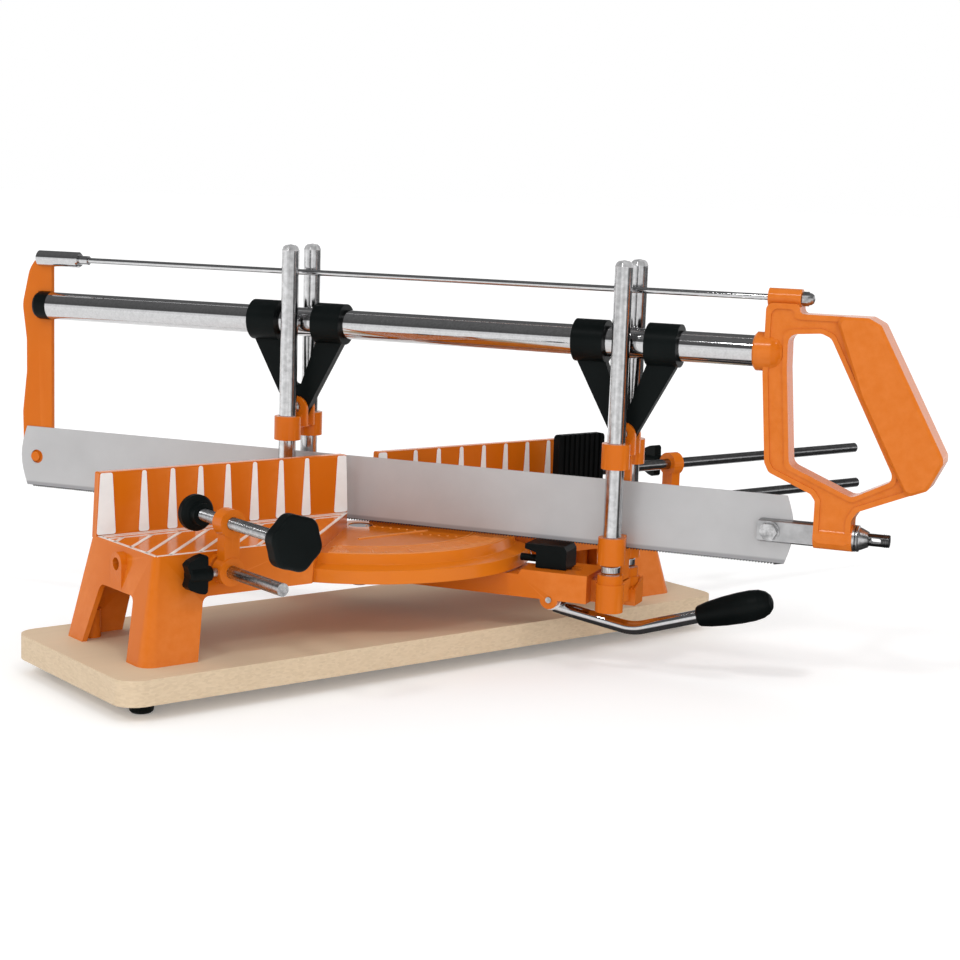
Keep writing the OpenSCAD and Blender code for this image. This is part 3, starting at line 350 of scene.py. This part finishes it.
# softened edges on the solids: joined points and flat faces first, then a small bevel and even shading
def soften(name, width, segments=3, angle=32):
    solid = nodes[name]
    weld = solid.modifiers.new("weld", "WELD")
    weld.merge_threshold = 0.00001
    flat = solid.modifiers.new("flat", "DECIMATE")
    flat.decimate_type = "DISSOLVE"
    flat.angle_limit = math.radians(0.5)
    edge = solid.modifiers.new("edge", "BEVEL")
    edge.width = width * MM
    edge.segments = segments
    edge.limit_method = "ANGLE"
    edge.angle_limit = math.radians(angle)
    edge.use_clamp_overlap = True
    even = solid.modifiers.new("even", "WEIGHTED_NORMAL")
    even.keep_sharp = False


soft_edges = {"board": 1.2, "handle": 1.2, "scale_plate": 0.5, "index_latch": 1.5}
for name in ("left_table", "right_table", "scale_plate", "swivel_arm", "handle", "tip_arm", "blade_guides",
             "rear_slider", "front_slider", "clamp_bracket", "stop_bracket", "rear_v_guide", "front_v_guide",
             "index_latch", "board", "clamp_wing", "stop_wing", "stop_block", "blade_strap"):
    soften(name, soft_edges.get(name, 0.7))


# a piece made from faces, put on a body
def piece(name, verts, faces, material, body):
    mesh = bpy.data.meshes.new(name)
    mesh.from_pydata([tuple(v) for v in verts], [], faces)
    mesh.validate()
    tidy = bmesh.new()
    tidy.from_mesh(mesh)
    bmesh.ops.recalc_face_normals(tidy, faces=tidy.faces)
    tidy.to_mesh(mesh)
    tidy.free()
    mesh.materials.append(material)
    made = bpy.data.objects.new(name, mesh)
    bpy.context.scene.collection.objects.link(made)
    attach(made, body)
    return made


# collects flat bars of a given width between two points of one plane, as one mesh
class Strips:
    def __init__(self, place):
        self.place = place
        self.verts = []
        self.faces = []

    def bar(self, a, b, width, low, high):
        a, b = Vector(a), Vector(b)
        side = Vector((a.y - b.y, b.x - a.x)).normalized() * width / 2
        ring = [a - side, b - side, b + side, a + side]
        self.prism(ring, low, high)

    def prism(self, ring, low, high):
        first = len(self.verts)
        n = len(ring)
        for z in (low, high):
            self.verts += [self.place(p[0], p[1], z) for p in ring]
        self.faces.append([first + i for i in range(n)][::-1])
        self.faces.append([first + n + i for i in range(n)])
        for i in range(n):
            k = (i + 1) % n
            self.faces.append([first + i, first + k, first + n + k, first + n + i])


# white lines on both tables: borders, three lines along the fence, and hatching
half_table = 203
table_depth = 77
notch = 11.5
inset = 1.6
border_w = 2.2
border_y = -1.2
hatch_y = -11.5
hatch_first = 45.8
hatch_pitch = 20.6
hatch_count = 8
hatch_w = 2.4
hatch_least = 4
line_h = (table_z - 0.2, table_z + 0.3)
# place in front of the fence, start past the inner border and width of each line along the fence
fence_lines = ((-1.4, 0, 1.6), (-5.4, 4.5, 1.4), (hatch_y, 10.5, 1.6))
lines = Strips(base_point)
for e in (-1, 1):
    out = e * (half_table - inset)
    front = -table_depth + inset
    inner = e * (notch + inset)
    corner = e * (notch + table_depth + 2)
    lines.bar((out, border_y), (out, front), border_w, *line_h)
    lines.bar((out, front), (corner, front), border_w, *line_h)
    lines.bar((inner, border_y), (corner, front), border_w, *line_h)
    for y, start, width in fence_lines:
        lines.bar((out, y), (inner + e * start, y), width, *line_h)
    for k in range(hatch_count):
        x = hatch_first + hatch_pitch * k
        run = min(hatch_y - front, half_table - inset - x)
        if run > hatch_least:
            lines.bar((e * x, hatch_y), (e * (x + run), hatch_y - run), hatch_w, *line_h)
piece("table_lines", lines.verts, lines.faces, WHITE_MAT, "base")


# raised ticks and arcs on the scale plate, in a paler paint than the casting: a painted highlight on the
# raised marks
def polar(radius, degrees):
    a = math.radians(degrees)
    return (radius * math.sin(a), -radius * math.cos(a))


# corners of a small flat dot
def dot(centre, radius, corners):
    turns = [2 * math.pi * k / corners for k in range(corners)]
    return [(centre[0] + radius * math.cos(a), centre[1] + radius * math.sin(a)) for a in turns]


marks = Strips(base_point)
sunk = disc_z - 0.2
mark_h = (sunk, disc_z + 0.45)
tick_end = 104.2
for d in range(-45, 46):
    tick_start = 92.5 if d % 15 == 0 else 96 if d % 5 == 0 else 99
    marks.bar(polar(tick_start, d), polar(tick_end, d), 0.7 if d % 5 else 1.0, *mark_h)
arc_end = 46
arc_w = 0.8
for radius in (80.5, 105.6):
    for d in range(-arc_end, arc_end, 2):
        marks.bar(polar(radius, d), polar(radius, d + 2), arc_w, *mark_h)
# a straight rib across the plate, and two rows of small dots
rib_w = 1.4
marks.bar((-32, -43.5), (28, -40.5), rib_w, sunk, disc_z + 0.7)
for start, step, count in (((1, -6), (3.3, -5), 7), ((16.5, -49.5), (3.9, -4.6), 9)):
    for k in range(count):
        marks.prism(dot((start[0] + step[0] * k, start[1] + step[1] * k), 0.8, 8), *mark_h)
# fine stipple between the two arcs
stipple_first = 83
stipple_pitch = 1.9
for row in range(12):
    radius = stipple_first + stipple_pitch * row
    count = int(math.radians(2 * arc_end) * radius / stipple_pitch)
    for k in range(count):
        d = -arc_end + 2 * arc_end * (k + 0.5 * (row % 2)) / count
        marks.prism(dot(polar(radius, d), 0.6, 4), sunk, disc_z + 0.3)
piece("scale_marks", marks.verts, marks.faces, MARK_HIGHLIGHT_MAT, "base")


# plain numbers beside the long ticks, in the same paler paint with its painted highlight
def number(text, degrees, radius, size):
    curve = bpy.data.curves.new("number", "FONT")
    curve.body = text
    curve.size = size * MM
    curve.extrude = 0.3 * MM
    curve.align_x = "CENTER"
    curve.align_y = "CENTER"
    made = bpy.data.objects.new("number", curve)
    bpy.context.scene.collection.objects.link(made)
    x, y = polar(radius, degrees)
    turn = Matrix.Rotation(math.radians(degrees), 4, "Z")
    made.matrix_world = Matrix.Translation(base_point(x, y, disc_z + 0.1)) @ turn
    bpy.context.view_layer.update()
    mesh = bpy.data.meshes.new_from_object(made.evaluated_get(bpy.context.evaluated_depsgraph_get()))
    mesh.transform(made.matrix_world)
    bpy.data.objects.remove(made)
    solid = bpy.data.objects.new(f"scale_number_{text}_{'left' if degrees < 0 else 'right'}", mesh)
    mesh.materials.clear()
    mesh.materials.append(MARK_HIGHLIGHT_MAT)
    bpy.context.scene.collection.objects.link(solid)
    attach(solid, "base")


number_r = 87
number_size = 8
for d in (-45, -30, -15, 0, 15, 30, 45):
    number(str(abs(d)), d, number_r, number_size)


# round bar along a direction whose radius changes along its length and round it
def turned(name, start, axis, length, radius, rings, around, material, body):
    axis = Vector(axis).normalized()
    side = axis.orthogonal().normalized()
    third = axis.cross(side)
    verts = []
    for i in range(rings + 1):
        z = length * i / rings
        for k in range(around):
            a = 2 * math.pi * k / around
            out = side * math.cos(a) + third * math.sin(a)
            verts.append(start + (axis * z + out * radius(z, a)) * MM)
    faces = []
    for first in range(0, around * rings, around):
        for k in range(around):
            after = (k + 1) % around
            faces.append([first + k, first + after, first + around + after, first + around + k])
    faces.append(list(range(around))[::-1])
    faces.append([around * rings + k for k in range(around)])
    made = piece(name, verts, faces, material, body)
    for face in made.data.polygons:
        face.use_smooth = len(face.vertices) == 4
    return made


# radius of a screw thread: a triangle wave that climbs one pitch in each turn, run out at both ends
def thread(crest, depth, pitch, length):
    def radius(z, a):
        phase = (z / pitch - a / (2 * math.pi)) % 1
        wave = 1 - abs(2 * phase - 1)
        end = min(1, min(z, length - z) / pitch)
        return crest - depth * (1 - wave * end)
    return radius


# middle of the front end of a node that lies along Y, and its length
def front_end(name):
    low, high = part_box(name)
    middle = (low + high) / 2
    return Vector((middle.x, low.y, middle.z)), (high.y - low.y) / MM


# screw spindle of the clamp
thread_pitch = 1.25
spindle_end, spindle_len = front_end("clamp_spindle")
spindle_rings = int(spindle_len / thread_pitch * 6)
spindle = turned("spindle_thread", spindle_end, (0, 1, 0), spindle_len,
                 thread(crest=4.0, depth=0.55, pitch=thread_pitch, length=spindle_len), spindle_rings, 24,
                 CLAMP_MAT, "spindle")
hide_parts("clamp_spindle")

# knob with six nearly straight sides and rounded rims, and a short hub behind it
knob_front, knob_len = front_end("clamp_knob")
knob_r = (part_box("clamp_knob")[1].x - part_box("clamp_knob")[0].x) / 2 / MM
knob_body = 11
knob_rim = 2.4
knob_hub = 7.5
knob_sides = 6
side_depth = 1.5


def knob_radius(z, a):
    if z > knob_body:
        return knob_hub
    near = max(0, knob_rim - z, knob_rim - (knob_body - z))
    rim = knob_rim - math.sqrt(knob_rim ** 2 - near ** 2)
    return knob_r - side_depth / 2 * (1 - math.cos(knob_sides * a)) - rim


knob = turned("star_knob", knob_front, (0, 1, 0), knob_len, knob_radius, 54, 120, PLASTIC_MAT, "spindle")
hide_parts("clamp_knob")

# thread on the free end of the tensioner
stud_len = 4.8
stud_start = saw_point(360.6, 0, teeth_z + 22.2)
turned("stud_thread", stud_start, along, stud_len,
       thread(crest=4.3, depth=0.5, pitch=thread_pitch, length=stud_len), 24, 24,
       DARK_MAT, "saw")


# knurled foot of each post, between the arm and the blade guide
post_r = 6.02
post_off = 16.5
knurl_rise = 0.22
knurl_count = 36
knurl_z = 69
knurl_len = 5.8


def knurl(z, a):
    return post_r + knurl_rise * (0.5 + 0.5 * math.cos(knurl_count * a))


for end, s in (("rear", -50), ("front", 189)):
    for hand, off in (("near", -post_off), ("far", post_off)):
        turned(f"post_knurl_{end}_{hand}", saw_point(s, off, knurl_z), up, knurl_len, knurl,
               4, 6 * knurl_count, POST_MAT, "arm")


# floor: pale, lifted to white where it is seen directly or in metal, so that only the shadow shows
def seen_directly(nt):
    paths = node(nt, "ShaderNodeLightPath")
    return maths(nt, "MAXIMUM", paths.outputs["Is Camera Ray"], paths.outputs["Is Glossy Ray"])


# metal mirrors a dark screen on the floor at the camera's right, which gives upright posts a dark side
yaw = math.radians(38.534)
aside = Vector((math.cos(yaw), -math.sin(yaw), 0))


def dark_screen(nt):
    place = node(nt, "ShaderNodeNewGeometry").outputs["Position"]
    away = node(nt, "ShaderNodeVectorMath", {0: place, 1: pivot}, operation="SUBTRACT")
    bearing = node(nt, "ShaderNodeVectorMath", {0: away.outputs["Vector"]}, operation="NORMALIZE")
    turn = node(nt, "ShaderNodeVectorMath", {0: bearing.outputs["Vector"], 1: aside}, operation="DOT_PRODUCT")
    screen = node(nt, "ShaderNodeMapRange", {"Value": turn.outputs["Value"], "From Min": 0.7})
    screen.inputs["From Max"].default_value = 0.82
    mirrored = node(nt, "ShaderNodeLightPath").outputs["Is Glossy Ray"]
    return maths(nt, "MULTIPLY", screen.outputs["Result"], mirrored)


floor_mat, floor_nt, floor_shader = tree("floor")
clouds = noise(floor_nt, coords(floor_nt), 2)
pale = ramp(floor_nt, clouds, [(0, (0.92, 0.92, 0.92)), (1, (0.95, 0.95, 0.95))])
lift = spread(floor_nt, seen_directly(floor_nt), 0.0, 0.17)
tint = blend_colour(floor_nt, dark_screen(floor_nt), pale, grey(0.05))
plug(floor_nt, floor_shader, Base_Color=tint, Roughness=0.9, Specular_IOR_Level=0.0)
plug(floor_nt, floor_shader, Emission_Color=tint, Emission_Strength=lift)
floor_mesh = bpy.data.meshes.new("floor")
reach = 30
floor_corners = [(-reach, -reach, 0), (reach, -reach, 0), (reach, reach, 0), (-reach, reach, 0)]
floor_mesh.from_pydata(floor_corners, [], [(0, 1, 2, 3)])
floor_mesh.materials.append(floor_mat)
floor = bpy.data.objects.new("floor", floor_mesh)
bpy.context.scene.collection.objects.link(floor)

# world: even soft light; white backdrop for the camera; metal sees it too, with a darker ceiling above
world = bpy.data.worlds.new("studio")
bpy.context.scene.world = world
world.use_nodes = True
wt = world.node_tree
sky = node(wt, "ShaderNodeSeparateXYZ", {"Vector": node(wt, "ShaderNodeTexCoord").outputs["Generated"]})
ceiling = ramp(wt, sky.outputs["Z"], [(0.0, grey(1.0)), (0.2, grey(0.95)), (0.3, grey(0.10)),
                                      (1.0, grey(0.16))])
soft = node(wt, "ShaderNodeBackground", {"Color": (1, 1, 1, 1), "Strength": 0.81})
mirror = node(wt, "ShaderNodeBackground", {"Color": ceiling, "Strength": 1.0})
plain = node(wt, "ShaderNodeBackground", {"Color": (1, 1, 1, 1), "Strength": 1.0})
ways = node(wt, "ShaderNodeLightPath")
mirrored = ways.outputs["Is Glossy Ray"]
seen = ways.outputs["Is Camera Ray"]
unseen = node(wt, "ShaderNodeMixShader", {0: mirrored, 1: soft.outputs[0], 2: mirror.outputs[0]})
whole = node(wt, "ShaderNodeMixShader", {0: seen, 1: unseen.outputs[0], 2: plain.outputs[0]})
wt.links.new(whole.outputs[0], wt.nodes["World Output"].inputs["Surface"])


def sun(name, power, angle, azimuth, height):
    data = bpy.data.lights.new(name, "SUN")
    data.energy = power
    data.angle = math.radians(angle)
    lamp = bpy.data.objects.new(name, data)
    a, h = math.radians(azimuth), math.radians(height)
    towards = Vector((math.cos(h) * math.sin(a), -math.cos(h) * math.cos(a), math.sin(h)))
    lamp.rotation_euler = towards.to_track_quat("Z", "Y").to_euler()
    bpy.context.scene.collection.objects.link(lamp)
    return lamp


sun("key", power=0.4, angle=7, azimuth=-75, height=45)
sun("top", power=0.25, angle=7, azimuth=-5, height=55)
# the low light in front only fills shadows, so metal does not mirror it
sun("front", power=0.55, angle=40, azimuth=-32, height=14).visible_glossy = False

# camera fitted to the photograph: place, direction and focal length
pitch, roll = math.radians(8.844), math.radians(1.953)
focal_pixels = 1877.7
picture_pixels = 960
sensor = 36
look = Vector((math.sin(yaw) * math.cos(pitch), math.cos(yaw) * math.cos(pitch), -math.sin(pitch)))
level = aside.cross(look)
right = math.cos(roll) * aside + math.sin(roll) * level
top = math.cos(roll) * level - math.sin(roll) * aside
camera_data = bpy.data.cameras.new("camera")
camera_data.sensor_width = sensor
camera_data.lens = sensor * focal_pixels / picture_pixels
camera = bpy.data.objects.new("camera", camera_data)
turn = Matrix((right, top, -look)).transposed().to_4x4()
camera.matrix_world = Matrix.Translation(base_point(-740.18, -1061.59, 315.89)) @ turn
bpy.context.scene.collection.objects.link(camera)
bpy.context.scene.camera = camera
bpy.context.scene.view_settings.view_transform = "Standard"
